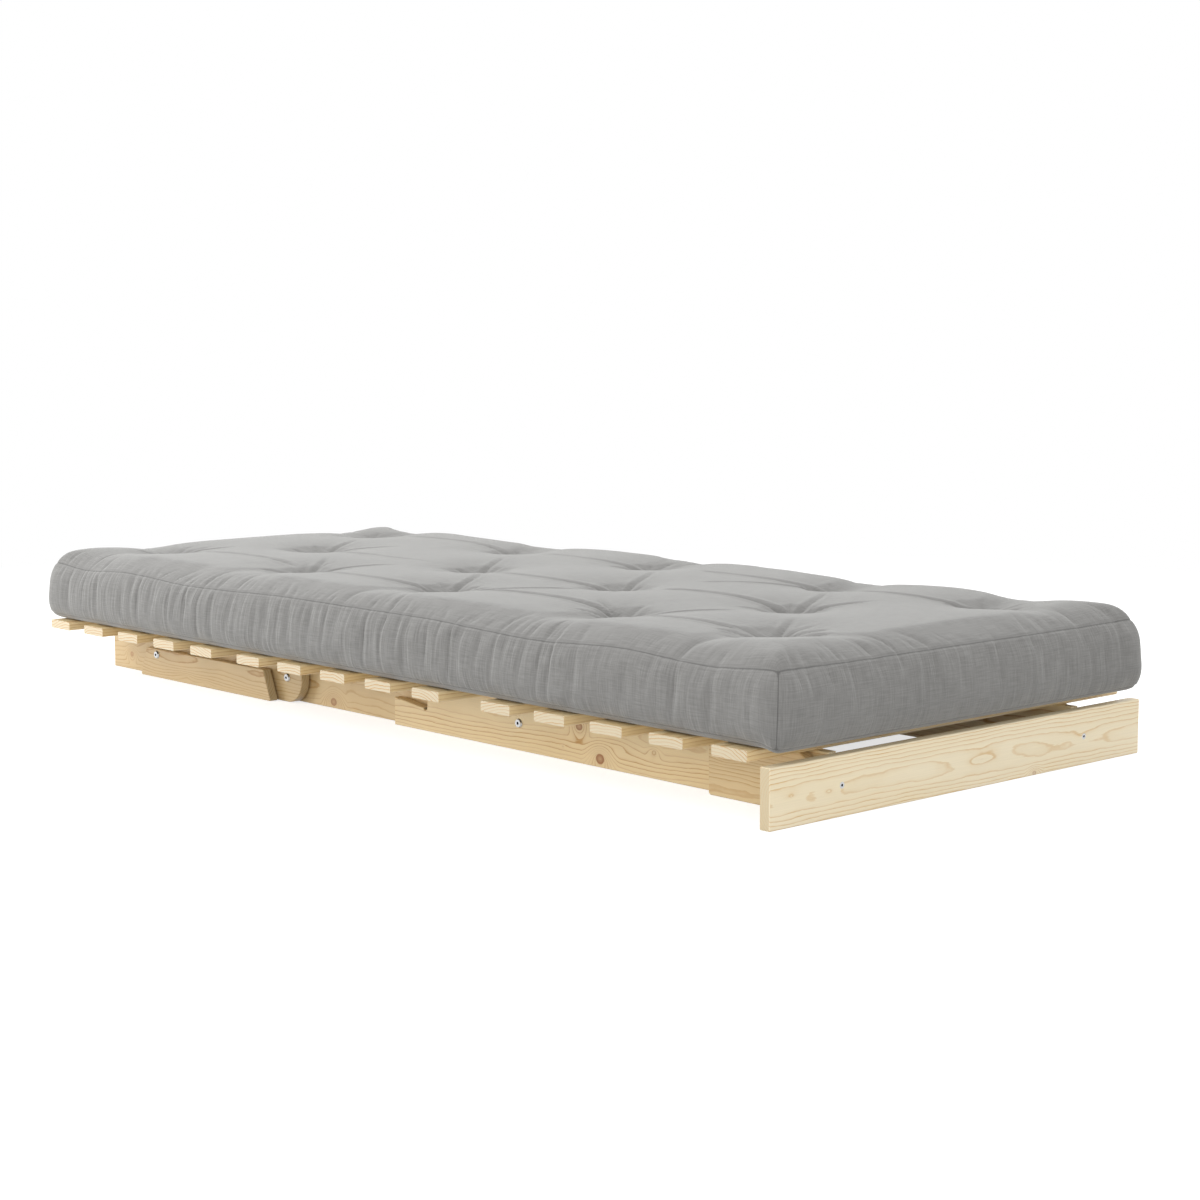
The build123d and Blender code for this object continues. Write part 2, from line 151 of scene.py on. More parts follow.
def lacquered_pine(name, along, height, depth, heart, seed, shades, boards=None, knots=(), start=0.0,
                   ring=RING_WIDTH, wander=PITH_WANDER, end_rings=0.9, notched=False):
    """Planed pine under clear satin lacquer: pale early wood and tan late wood in rings about a heart
    that runs beside the board, so that broad faces show arches and end grain shows arcs. end_rings is
    how strong those arcs are, and notched says that a notch is cut across the fibres, with painted shade
    in its hollow.
    along, height and depth name the board's axes; heart is the pith's place on the last two, and wander
    is how far it strays.
    shades are those of pale early wood, warm early wood, late wood and end grain. A knot is its place
    along the board from start, its place up it, its radius, how much it is drawn out, how far it swells
    and its darkness, with lengths in mm.
    boards is (first, pitch) along the height axis where one finish serves a row of boards."""
    material, tree = new_material(name)
    split = add(tree, SPLIT, add(tree, COORDINATES, out="Object")).node.outputs
    run, high, deep = split[along], split[height], split[depth]
    shift, tone = seed, 0.0
    if boards:
        high, shift, tone = board_in_row(tree, high, boards, seed)
    elif along == "Y":  # the left and right rails are cut alike, with the heart beyond the outer face
        side = add(tree, MATH, split["X"], operation="SIGN")
        shift = add(tree, MATH, side, -1.7, seed, **TIMES_PLUS)
        tone = add(tree, MATH, side, -0.06, **TIMES)
        deep = add(tree, MATH, add(tree, MATH, deep, operation="ABSOLUTE"), -1.0, **TIMES)
    place = add(tree, JOIN, add(tree, MATH, run, shift, **PLUS), high, deep)
    slow, ripple, fibre = [
        drawn_noise(tree, place, size, detail, roughness)
        for size, detail, roughness in ((FIGURE, 2.5, 0.45), (RIPPLE, 3.0, 0.5), (FIBRE, 3.0, 0.6))]
    # how far each point is from the pith, which wanders along the log
    from_pith = add(tree, JOIN, 0.0, add(tree, MATH, high, -heart[0], **PLUS),
                    add(tree, MATH, deep, -heart[1], **PLUS))
    radius = add(tree, VECTOR_MATH, from_pith, operation="LENGTH", out="Value")
    for wave, reach in ((slow, wander), (ripple, RIPPLE_DEPTH), (fibre, FIBRE_DEPTH)):
        radius = add(tree, MATH, wave, reach, radius, **TIMES_PLUS)
    radius, core = knots_in(tree, knots, start, run, high, ripple, radius)
    # one ring: pale for half of the year, darkest near its end
    late = add(tree, "ValToRGB",
               add(tree, MATH, add(tree, MATH, radius, ring, operation="DIVIDE"), operation="FRACT"))
    ramp = late.node.color_ramp
    ramp.elements[0].color = ramp.elements[1].color = (0, 0, 0, 1)
    for position, value in ((0.50, 0.04), (0.79, 0.24), (0.90, 0.92), (0.955, 0.72)):
        ramp.elements.new(position).color = (value, value, value, 1)
    # rings are strong in some years and faint in others, and fainter on end grain, which is paler too
    years = add(tree, MATH, radius, 1 / STRONG_YEARS, seed, **TIMES_PLUS)
    years = add(tree, NOISE, sockets={"W": years, "Scale": 1.0, "Detail": 1.0}, noise_dimensions="1D")
    facing = add(tree, SPLIT, add(tree, COORDINATES, out="Normal")).node.outputs[along]
    facing = add(tree, MATH, facing, operation="ABSOLUTE")
    end_grain = add(tree, RANGE, facing, 0.75, 0.9, 0.0, 1.0)
    for cause, *ends in ((years, 0.35, 0.62, 0.45, 1.0), (ripple, 0.3, 0.65, 0.7, 1.0),
                         (facing, 0.75, 0.9, 1.0, end_rings)):
        late = add(tree, MATH, late, add(tree, RANGE, cause, *ends), **TIMES)
    timber = add(tree, MIX, add(tree, MATH, slow, tone, **PLUS), **COLOURS,
                 sockets={A: colour(shades[0]), B: colour(shades[1])})
    layers = [(end_grain, shades[3]), (late, shades[2]), (core, "#9e642e")]
    if notched:  # painted shade: dark brown in the notch's hollow, where the rail shades itself
        painted_shade_ao = add(tree, OCCLUSION, out="AO", sockets={"Distance": 40 * MM}, samples=6, only_local=True)
        layers.append((add(tree, RANGE, painted_shade_ao, 0.30, 0.72, 0.85, 0.0), "#4a2f17"))
    for share, shade in layers:
        timber = add(tree, MIX, share, **COLOURS, sockets={A: timber, B: colour(shade)})
    streak = add(tree, JOIN, *[add(tree, RANGE, fibre, 0.2, 0.8, 0.93, 1.05)] * 3)
    timber = add(tree, MIX, 1.0, **COLOURS, blend_type="MULTIPLY", sockets={A: timber, B: streak})
    relief = add(tree, MATH, late, -0.7, fibre, **TIMES_PLUS)
    bump = add(tree, BUMP, sockets={"Height": relief, "Strength": 0.35, "Distance": 0.12 * MM})
    gloss = add(tree, RANGE, add(tree, MATH, late, end_grain, **PLUS), 0.0, 1.0, 0.42, 0.52)
    wood = add(tree, SURFACE, timber,
               sockets={"Roughness": gloss, "IOR": 1.5, "Coat Weight": 0.12, "Coat Roughness": 0.28,
                        "Normal": bump})
    add(tree, OUTPUT, wood)
    return material


# ---------------- cotton

THREAD = 1.9 * MM  # real threads are 0.6 mm apart; drawn three times as coarse, so that they show
SLUB_LENGTH = 38 * MM  # how far a thick or thin place runs along its thread
PLEAT = (9 * MM, 140 * MM, 1)  # breadth and length of the fine pleats in the band
BOTTOM_CUT, BAND_CUT = 3.0, 6.0  # where the flat cloth's own measure starts on those two panels


def cotton_canvas(name):
    """Grey cotton canvas, plain woven: matt, faintly furry, with thick and thin threads both ways.
    The layer called cut holds the flat cloth's own measure in metres, along the warp and the weft."""
    material, tree = new_material(name)
    cut = add(tree, "UVMap", uv_map="cut")
    split = add(tree, SPLIT, cut).node.outputs
    slubs = [drawn_noise(tree, cut, size, 2.0, 0.55, noise_dimensions="2D")
             for size in ((SLUB_LENGTH, THREAD, 1), (THREAD, SLUB_LENGTH, 1))]
    waves = [add(tree, MATH, add(tree, MATH, split[axis], 2 * math.pi / THREAD, **TIMES),
                 operation="SINE") for axis in ("X", "Y")]
    weave = add(tree, MATH, *waves, **TIMES)
    uneven = add(tree, MATH, add(tree, MATH, *slubs, **PLUS), -1.0, **PLUS)
    cloudy = add(tree, NOISE, cut, sockets={"Scale": 9.0, "Detail": 2.0}, noise_dimensions="2D")
    to_seam = add(tree, "Attribute", attribute_name="to_seam", out="Fac")
    stitched = add(tree, RANGE, to_seam, 0.4 * MM, 1.2 * MM, 0.5, 0.0)
    shade = add(tree, MATH, weave, 0.03, add(tree, MATH, uneven, 0.42, **TIMES), **TIMES_PLUS)
    shade = add(tree, MATH, cloudy, 0.12, shade, **TIMES_PLUS)
    cloth = add(tree, MIX, add(tree, RANGE, shade, -0.1, 0.22, 0.0, 1.0), **COLOURS,
                sockets={A: colour("#777674"), B: colour("#8b8a88")})
    cloth = add(tree, MIX, stitched, **COLOURS, sockets={A: cloth, B: colour("#3f3f3e")})
    relief = add(tree, MATH, weave, 0.3, uneven, **TIMES_PLUS)
    # the band alone is gathered into fine pleats that run down it
    pleats = drawn_noise(tree, cut, PLEAT, 2.0, noise_dimensions="2D")
    crowded = add(tree, NOISE, cut, sockets={"Scale": 7.0}, noise_dimensions="2D")
    crowded = add(tree, MATH, add(tree, RANGE, crowded, 0.38, 0.62, 0.25, 1.0),
                  add(tree, RANGE, split["Y"], BAND_CUT - 0.1, BAND_CUT), **TIMES)
    pleats = add(tree, MATH, pleats, crowded, **TIMES)
    pleats = add(tree, BUMP, sockets={"Height": pleats, "Strength": 0.75, "Distance": 3.0 * MM})
    bump = add(tree, BUMP, sockets={"Height": relief, "Strength": 0.5, "Distance": 0.35 * MM,
                                    "Normal": pleats})
    canvas = add(tree, SURFACE, cloth,
                 sockets={"Roughness": 0.92, "IOR": 1.45, "Specular IOR Level": 0.25,
                          "Sheen Weight": 0.40, "Sheen Roughness": 0.45,
                          "Sheen Tint": colour("#f2f2f0"), "Normal": bump})
    add(tree, OUTPUT, canvas)
    return material


def waxed_thread(name):
    """Twisted cotton thread, waxed: a darker grey than the cloth, with a fine slanting twist."""
    material, tree = new_material(name)
    place = add(tree, COORDINATES, out="Object")
    twist = add(tree, "TexWave", place, sockets={"Scale": 0.3 / MM, "Distortion": 1.0},
                bands_direction="DIAGONAL")
    cord = add(tree, MIX, twist, **COLOURS, sockets={A: colour("#6f6f6d"), B: colour("#8b8b88")})
    bump = add(tree, BUMP, sockets={"Height": twist, "Strength": 0.5, "Distance": 0.2 * MM})
    add(tree, OUTPUT, add(tree, SURFACE, cord, sockets={"Roughness": 0.7, "Normal": bump}))
    return material


# ---------------- steel and nylon

def zinc_plate(name):
    """Zinc plated steel, tumbled: silver with a faint cloudy spangle and fine scratches, and with painted
    shade that makes it nearly black down in the sockets."""
    material, tree = new_material(name)
    place = add(tree, COORDINATES, out="Object")
    cloud = add(tree, NOISE, place, sockets={"Scale": 1 / (2.4 * MM), "Detail": 3.0})
    plate = add(tree, MIX, cloud, **COLOURS, sockets={A: colour("#a9abad"), B: colour("#cfd0d1")})
    # painted shade: nearly black where the hexagon sockets shade themselves
    painted_shade_ao = add(tree, OCCLUSION, out="AO", sockets={"Distance": 4 * MM}, samples=8, only_local=True)
    plate = add(tree, MIX, add(tree, RANGE, painted_shade_ao, 0.45, 0.85), **COLOURS,
                sockets={A: colour("#1d1d1e"), B: plate})
    scratch = add(tree, NOISE, place, sockets={"Scale": 1 / (0.4 * MM), "Detail": 2.0})
    bump = add(tree, BUMP, sockets={"Height": scratch, "Strength": 0.15, "Distance": 0.02 * MM})
    gloss = add(tree, RANGE, cloud, 0.0, 1.0, 0.22, 0.42)
    steel = add(tree, SURFACE, plate, sockets={"Metallic": 1.0, "Roughness": gloss, "Normal": bump})
    add(tree, OUTPUT, steel)
    return material


def moulded_nylon(name):
    """Natural nylon, moulded: milky white and waxy."""
    material, tree = new_material(name)
    place = add(tree, COORDINATES, out="Object")
    cloud = add(tree, NOISE, place, sockets={"Scale": 1 / (6 * MM), "Detail": 2.0})
    resin = add(tree, MIX, cloud, **COLOURS, sockets={A: colour("#dcd8cc"), B: colour("#efece2")})
    gloss = add(tree, RANGE, cloud, 0.0, 1.0, 0.35, 0.5)
    add(tree, OUTPUT, add(tree, SURFACE, resin, sockets={"Roughness": gloss, "IOR": 1.53}))
    return material


# ---------------- camera, light and floor

lens = bpy.data.cameras.new("camera")
lens.lens, lens.sensor_width = 68.88, 36.0
lens.clip_start, lens.clip_end = 0.05, 200.0
camera = show("camera", lens)
camera.location = (-2.7835, -3.2279, 0.7188)
camera.rotation_euler = (math.radians(83.106), 0.0, math.radians(-42.414))
scene.camera = camera
scene.view_settings.view_transform = "Standard"


def soft_box(name, place, aim, size, power):
    """A large square studio lamp."""
    lamp = bpy.data.lights.new(name, "AREA")
    lamp.shape, lamp.size, lamp.energy = "SQUARE", size, power
    box = show(name, lamp)
    box.location = place
    box.rotation_euler = (Vector(aim) - Vector(place)).to_track_quat("-Z", "Y").to_euler()


soft_box("top_light", (1.1, 0.9, 3.4), (0.0, 0.2, 0.1), 2.6, 19.0)
soft_box("side_light", (-2.3, 2.7, 0.9), (-0.2, 0.4, 0.1), 1.6, 54.0)
soft_box("low_light", (-2.6, -2.5, 0.45), (-0.3, -0.8, 0.1), 1.2, 13.0)

# a white studio, which gives a little more light than it shows
world = bpy.data.worlds.new("studio")
scene.world = world
world.use_nodes = True
studio = world.node_tree
studio.nodes.clear()
ray = add(studio, "LightPath").node.outputs
shown = add(studio, MATH, ray["Is Camera Ray"], ray["Is Transmission Ray"], **PLUS)
shown = add(studio, MATH, shown, ray["Is Glossy Ray"], **PLUS, use_clamp=True)
level = add(studio, RANGE, shown, 0.0, 1.0, 1.06, 1.0)
sky = add(studio, "Background", colour("#ffffff"), level)
add(studio, "OutputWorld", sky)


def backdrop_paper(name):
    """Matt pale grey backdrop paper. What shows of it is lifted to white, less the bed's shadow."""
    material, tree = new_material(name)
    place = add(tree, COORDINATES, out="Object")
    tooth = add(tree, NOISE, place, sockets={"Scale": 60.0})
    paper = add(tree, MIX, tooth, **COLOURS, sockets={A: colour("#c2c2c1"), B: colour("#c8c8c7")})
    matt = add(tree, SURFACE, paper, sockets={"Roughness": 0.95, "Specular IOR Level": 0.1})
    ray = add(tree, "LightPath").node.outputs
    shown = add(tree, MATH, ray["Is Camera Ray"], ray["Is Glossy Ray"], **PLUS, use_clamp=True)
    lift = add(tree, "Emission", colour("#ffffff"), add(tree, MATH, shown, 0.72, **TIMES))
    away = add(tree, VECTOR_MATH, place, operation="LENGTH", out="Value")
    beyond = add(tree, MATH, add(tree, RANGE, away, 1.4, 3.0), shown, **TIMES)
    far = add(tree, "Emission", colour("#ffffff"), 1.0)
    near = add(tree, "AddShader", matt, lift)
    add(tree, OUTPUT, add(tree, "MixShader", beyond, near, far))
    return material


paper = bpy.data.meshes.new("floor")
paper.from_pydata([(-40, -40, 0), (40, -40, 0), (40, 40, 0), (-40, 40, 0)], [], [(0, 1, 2, 3)])
paper.materials.append(backdrop_paper("backdrop_paper"))
floor = show("floor", paper)
floor.location = (0.0, 0.0, -0.4 * MM)  # just clear of the frame

# ---------------- frame finishes

nodes = frame["nodes"]


def dress(material, *names):
    """Gives CAD pieces their finish."""
    for name in names:
        for slot in nodes[name].material_slots:
            slot.material = material


def middle_of(name, axis):
    """The middle of a CAD piece along one axis."""
    low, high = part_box(name)
    return (low[axis] + high[axis]) / 2


zinc = zinc_plate("zinc_plated_steel")
nylon = moulded_nylon("moulded_nylon")
for pivot in ("front_leg", "seat_pivot", "head_pivot", "prop_leg"):
    dress(zinc, f"{pivot}_bolts", f"{pivot}_nuts")
    dress(nylon, f"{pivot}_washers")
dress(zinc, "front_board_screws")

# shades of pale early wood, warm early wood, late wood and end grain
PALE_PINE = ("#f4e9d0", "#ebdab4", "#c8921f", "#d0c09f")
WARM_PINE = ("#f6e3b9", "#ecce97", "#bb8226", "#d4c7aa")
TAN_PINE = ("#e8d3a8", "#dfc18c", "#b27c26", "#d6c4a0")
DEEP_PINE = ("#d4bc91", "#c9ad7a", "#9f6e24", "#c8b792")

half_high = middle_of("seat_rail_left", 2)
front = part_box("front_board")[0].y
board = lacquered_pine("pine_front_board", "X", "Z", "Y", (half_high - 4 * MM, front - 32 * MM), 3.0,
                       PALE_PINE, ring=4.4 * MM, wander=13 * MM, end_rings=0.4,
                       knots=[(30, 43, 7, 5.5, 11, 0.0), (30, 44, 0.8, 1.6, 0, 0.8),
                              (165, 4, 4, 1.6, 20, 0.45), (290, 50, 8, 5.0, 6, 0.0),
                              (-325, 42, 4, 2.6, 7, 0.06), (-405, 46, 5, 3.0, 6, 0.0)])
dress(board, "front_board")
# how far the pith lies above the rails' middle and out from the bed's, in mm, a seed, the shades, and
# the knots, measured from the front
RAIL_CUTS = {
    "seat_rail": (16, 347, 11.0, WARM_PINE,
                  [(515, 14, 9, 1.2, 40, 1.0), (566, 61, 7, 1.3, 30, 0.9), (470, 40, 8, 3.5, 11, 0.0),
                   (606, 23, 1.5, 1.5, 3, 0.9), (388, 43, 4, 1.5, 14, 0.25)]),
    "back_rail": (-10, 315, 23.0, TAN_PINE, [(1280, 12, 8, 1.3, 46, 0.8)]),
    "head_rail": (12, 340, 37.0, DEEP_PINE, [(1963, 32, 6, 1.2, 32, 0.6)]),
    "front_leg": (-34, 352, 43.0, TAN_PINE, [(205, 62, 4, 2.5, 9, 0.1)]),
    "prop_leg": (4, 350, 59.0, DEEP_PINE,
                 [(1718, 14, 4, 3.5, 9, 0.0), (1652, 9, 3, 3.5, 7, 0.0), (1518, 10, 1.2, 1.5, 3, 0.8)]),
}
for kind, (above, out, seed, shades, knots) in RAIL_CUTS.items():
    heart = (half_high + above * MM, -out * MM)
    timber = lacquered_pine(f"pine_{kind}", "Y", "Z", "X", heart, seed, shades, knots=knots,
                            start=front, notched=kind == "seat_rail")
    dress(timber, f"{kind}_left", f"{kind}_right")
for section in ("seat", "back", "head"):
    first = middle_of(f"{section}_slat_1", 1)
    pitch = middle_of(f"{section}_slat_2", 1) - first
    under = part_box(f"{section}_slat_1")[0].z
    timber = lacquered_pine(f"pine_{section}_slats", "X", "Y", "Z", (0.0, under - 120 * MM), first * 3,
                            WARM_PINE, boards=(first - pitch / 2, pitch), wander=22 * MM, end_rings=1.5)
    dress(timber, *(f"{section}_slat_{number}" for number in range(1, 6)))

# ---------------- mattress

UP = np.array([0.0, 0.0, 1.0])
hinges = {joint["name"]: joint["pos_m"] for joint in frame["joints"]}
BACK_HINGE, HINGE_HEIGHT = hinges["back_rise"][1:]
HEAD_HINGE = hinges["head_raise"][1]
seat_low, seat_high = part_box("mattress_seat")
head_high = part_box("mattress_head")[1]

SEAM_FRONT = seat_low.y + 11 * MM  # the rectangle that the top seam follows
SEAM_HEAD = head_high.y - 20 * MM
SEAM_SIDE = seat_high.x - 11 * MM
LENGTH, WIDTH = SEAM_HEAD - SEAM_FRONT, 2 * SEAM_SIDE
CENTRE = (SEAM_FRONT + SEAM_HEAD) / 2
UNDERSIDE = seat_low.z
TOP_SEAM = UNDERSIDE + 113 * MM
FOOT_SEAM = UNDERSIDE + 11.5 * MM
FOOT_SPREAD = np.array([10 * MM, 6 * MM])  # how far the foot stands out at the sides and the ends
FOOT_ROUND = 8 * MM  # how far in from the foot seam the bottom panel has mostly come down
CROWN = 24 * MM  # rise of the top above its seam
SHOULDER = 155 * MM  # how far in from the seam the top is still rising
CORNER_RISE, CORNER_REACH = 10 * MM, 125 * MM  # the top is fuller at its corners, where no tuft pulls
SQUARE_REACH = 70 * MM  # and its shoulder is squarer there
BULGE = 10 * MM  # how far the sides stand out between the seams
FRONT_FULLNESS = 3 * MM  # and how much further at the two front corners
CORNER = 9 * MM  # the seams' radius at the four corners, and how much the sides between add to it
FULLER_CORNER = 16 * MM
MESH, BAND_ROWS = 9 * MM, 13  # size of the cover's quads, and how many go down the band
BAND_SLACK = 1.12  # the band is cut longer than it is tall, because it bulges
SETTLES, SETTLING_FRAMES = 9 * MM, 20  # how far the cover may move as it settles, and for how long

# tufts, as (back from the front seam, in from the left seam)
NEAR = [(0.185, 0.185), (0.522, 0.185), (0.985, 0.185), (1.405, 0.185), (1.889, 0.185)]
MIDDLE = [(0.365, 0.420), (0.784, 0.420), (1.184, 0.420), (1.699, 0.420)]
FAR = [(0.185, 0.695), (0.522, 0.695), (0.992, 0.695), (1.401, 0.695), (1.882, 0.695)]
TUFTS = NEAR + MIDDLE + FAR
# each tuft is a broad dish with a narrow pit at its middle: depth and reach of both
TUFT_DISH, TUFT_DISH_REACH = 12 * MM, 95 * MM
TUFT_PIT, TUFT_PIT_REACH = 12 * MM, 11 * MM
TUFT_INSET = 185 * MM  # of the outer rows, from their seam
ARM_REACH, ARM_RINGS, ARM_SIDES = 7 * MM, 9, 6  # half length and facets of one arm of a tuft's stitch
# each side's length, which of a tuft's two measures runs along it, and the tufts that pull on it
SIDES = [(LENGTH, 0, NEAR), (LENGTH, 0, FAR),
         (WIDTH, 1, [NEAR[0], FAR[0]]), (WIDTH, 1, [NEAR[4], FAR[4]])]
SEAM_END = 14 * MM  # no gather is nearer to a corner than this
GATHER_REACH, GATHER_LIMIT = 100 * MM, 130 * MM  # how far a gather is felt, along its seam and up the top
SOFT_FOLD, CRISP_FOLD = 20 * MM, 4.8 * MM  # breadth of the folds, as sewn and as creased
FOLD_POINTS, FOLD_REACH = 40, 80 * MM  # points along a fold, and how far to its side it is felt
DROOP, DROOP_REACH = 8 * MM, 40 * MM  # how far the front edge hangs below the slats, and over what length
HEM = 6 * MM  # turned in at the open ends of each length of the mattress
HEAD_LEAN = 0.62  # how far the join behind the head hinge leans back, for each metre up
TINY = 1e-5  # metres, next to nothing

# folds between tufts: from, to, sideways bow and depth at the ends in mm, where it starts and stops
FOLDS = [
    (NEAR[4], NEAR[3], -30, 4.5, 0.04, 0.96), (NEAR[3], NEAR[2], 28, 5, 0.06, 1),
    (NEAR[2], NEAR[1], -22, 7.5, 0.02, 1), (NEAR[1], NEAR[0], 14, 6, 0, 0.92),
    (MIDDLE[3], MIDDLE[2], 20, 3.5, 0.05, 0.8), (MIDDLE[2], MIDDLE[1], 35, 5, 0.1, 1),
    (MIDDLE[1], MIDDLE[0], -25, 7, 0.2, 1), (FAR[4], FAR[3], -24, 4, 0.2, 1),
    (FAR[3], FAR[2], 18, 3.5, 0.25, 1), (FAR[2], FAR[1], 20, 4.5, 0.3, 1),
    (FAR[1], FAR[0], 22, 6, 0.15, 1), (NEAR[2], MIDDLE[1], 60, 6, 0, 0.85),
    (NEAR[2], MIDDLE[2], 30, 5.5, 0, 0.75), (NEAR[1], MIDDLE[0], 35, 6.5, 0, 0.7),
    (NEAR[1], MIDDLE[1], -40, 4, 0, 0.45), (MIDDLE[0], FAR[1], 20, 5, 0, 0.65),
    (MIDDLE[0], FAR[0], -25, 4, 0, 0.55), (MIDDLE[1], FAR[2], 30, 4.5, 0, 0.7),
    (MIDDLE[1], FAR[1], -30, 3.5, 0.35, 1), (MIDDLE[2], FAR[3], 20, 4, 0, 0.55),
    (NEAR[3], MIDDLE[2], -30, 4.5, 0, 0.6), (NEAR[3], MIDDLE[3], 30, 4, 0, 0.5),
    (MIDDLE[3], FAR[4], 25, 4, 0, 0.55), (MIDDLE[3], FAR[3], -20, 3.5, 0, 0.5),
    (NEAR[0], MIDDLE[0], 20, 4.5, 0, 0.5), (NEAR[4], MIDDLE[3], -25, 4, 0, 0.5),
]
# the top seam's height along its sides, where the tufts draw it down: (share of the length, rise in mm)
SEAM_WAVE = [(0.0, 4.0), (0.07, -3.0), (0.16, 4.0), (0.26, -4.0), (0.41, 4.0), (0.58, 4.0),
             (0.75, -3.5), (0.86, 3.5), (0.94, -4.0), (1.0, 2.0)]
WAVE_REACH = 120 * MM  # how far in over the top the seam's wave is felt


def smooth(share):
    """Eases a 0 to 1 share in and out."""
    share = np.clip(share, 0.0, 1.0)
    return share * share * (3 - 2 * share)


def bell(away, reach):
    """1 at no distance, and next to nothing at twice the reach."""
    return np.exp(-(away / reach) ** 2)


def seam_wave(share):
    """The rise of the seam at a share of its side."""
    at, rise = np.array(SEAM_WAVE).T
    step = np.clip(np.searchsorted(at, share, side="right") - 1, 0, len(at) - 2)
    part = smooth((share - at[step]) / (at[step + 1] - at[step]))
    return (rise[step] + (rise[step + 1] - rise[step]) * part) * MM


def from_seam(back, inward):
    """How far a point of the top is inside its seam, rounded at the corners."""
    near = np.maximum(np.minimum(back, LENGTH - back), TINY)
    side = np.maximum(np.minimum(inward, WIDTH - inward), TINY)
    return (near ** -6 + side ** -6) ** (-1 / 6)


def top_height(back, inward):
    """The crowned top, drawn down at each tuft."""
    edge = from_seam(back, inward)
    wave = seam_wave(back / LENGTH) * (1 - smooth(edge / WAVE_REACH))
    to_corner = np.hypot(np.minimum(back, LENGTH - back), np.minimum(inward, WIDTH - inward))
    rise = CROWN + CORNER_RISE * bell(to_corner, CORNER_REACH)
    steep = 5.5 + 4.0 * bell(to_corner, SQUARE_REACH)
    rise = rise * (1 - (1 - np.clip(edge / SHOULDER, 0, 1)) ** steep)
    for tuft_back, tuft_in in TUFTS:
        away = np.hypot(back - tuft_back, inward - tuft_in)
        rise = rise - TUFT_DISH * bell(away, TUFT_DISH_REACH)
        rise = rise - TUFT_PIT * np.exp(-away / TUFT_PIT_REACH)
    return TOP_SEAM + wave + rise


def round_corners(x, y, radius):
    """Moves points of the plan so that its corners turn on a radius. Also gives the way outward."""
    side, end = np.abs(x) - (SEAM_SIDE - radius), np.abs(y - CENTRE) - (LENGTH / 2 - radius)
    turning = (side > 0) & (end > 0)
    reach = np.maximum(np.hypot(side, end), 1e-9)
    shrink = np.where(turning, np.maximum(side, end) / reach, 1.0)
    new_x = np.where(turning, np.sign(x) * (SEAM_SIDE - radius + side * shrink), x)
    new_y = np.where(turning, CENTRE + np.sign(y - CENTRE) * (LENGTH / 2 - radius + end * shrink), y)
    on_side = side - end > 0
    out_x = np.where(turning, side / reach, on_side) * np.sign(x)
    out_y = np.where(turning, end / reach, ~on_side) * np.sign(y - CENTRE)
    return new_x, new_y, np.stack([out_x, out_y, np.zeros_like(out_x)], -1)


def fold_lines(back, inward, folds, width, lip):
    """How deep the folds between tufts are at each point: a sharp valley with soft lips. Where folds
    meet, the deepest counts."""
    valley, lips = np.zeros_like(back), np.zeros_like(back)
    for start, end, bow, deep, first, last in folds:
        start, end = np.array(start), np.array(end)
        across = np.array([-(end - start)[1], (end - start)[0]]) / np.linalg.norm(end - start)
        control = (start + end) / 2 + across * bow * 2 * MM
        part = np.linspace(first, last, FOLD_POINTS)[:, None]
        line = start * (1 - part) ** 2 + control * 2 * part * (1 - part) + end * part ** 2
        low, high = line.min(0) - FOLD_REACH, line.max(0) + FOLD_REACH
        near = (back > low[0]) & (back < high[0]) & (inward > low[1]) & (inward < high[1])
        spots = np.stack([back[near], inward[near]], 1)
        away, share = np.full(len(spots), np.inf), np.zeros(len(spots))
        for step in range(len(line) - 1):
            base, way = line[step], line[step + 1] - line[step]
            along = np.clip((spots - base) @ way / (way @ way), 0, 1)
            reach = np.linalg.norm(spots - base - along[:, None] * way, axis=1)
            closer = reach < away
            away[closer] = reach[closer]
            share[closer] = (first + (last - first) * (step + along) / (len(line) - 1))[closer]
        # shallower half way, and faded out at an end that stops short of its tuft
        strength = deep * MM * (0.40 + 0.60 * np.abs(2 * share - 1) ** 1.5)
        if first > 0.03:
            strength = strength * smooth((share - first) / 0.10)
        if last < 0.97:
            strength = strength * (1 - smooth((share - last + 0.25) / 0.25))
        valley[near] = np.maximum(valley[near], strength * np.exp(-away / width))
        lips[near] = np.maximum(lips[near], lip * strength * bell(away - 2.4 * width, 1.5 * width))
    return valley - lips * np.exp(-valley / (1.5 * MM))


def around(ring):
    """Each item of a closed ring with the one after it."""
    return list(zip(ring, ring[1:] + ring[:1]))


def build_cover(points, faces, cut, fall, to_seam, seams):
    """The cover as a mesh. It carries the flat cloth's own measure, called cut; how far each point is
    down the band, called fall, from 0 at the top seam to 1 at the foot seam; and its distance from a
    seam. Over the top fall is less than 0 by the distance from the seam, and underneath it is over 1."""
    mesh = bpy.data.meshes.new("cover")
    mesh.from_pydata(points.tolist(), [], faces.tolist())
    layer = mesh.uv_layers.new(name="cut")
    layer.uv.foreach_set("vector", cut.reshape(-1).astype(np.float32))
    for name, values in (("fall", fall), ("to_seam", to_seam)):
        mesh.attributes.new(name, "FLOAT", "POINT").data.foreach_set("value", values.astype(np.float32))
    for edge in mesh.edges:
        edge.use_seam = tuple(sorted(edge.vertices)) in seams
    return mesh


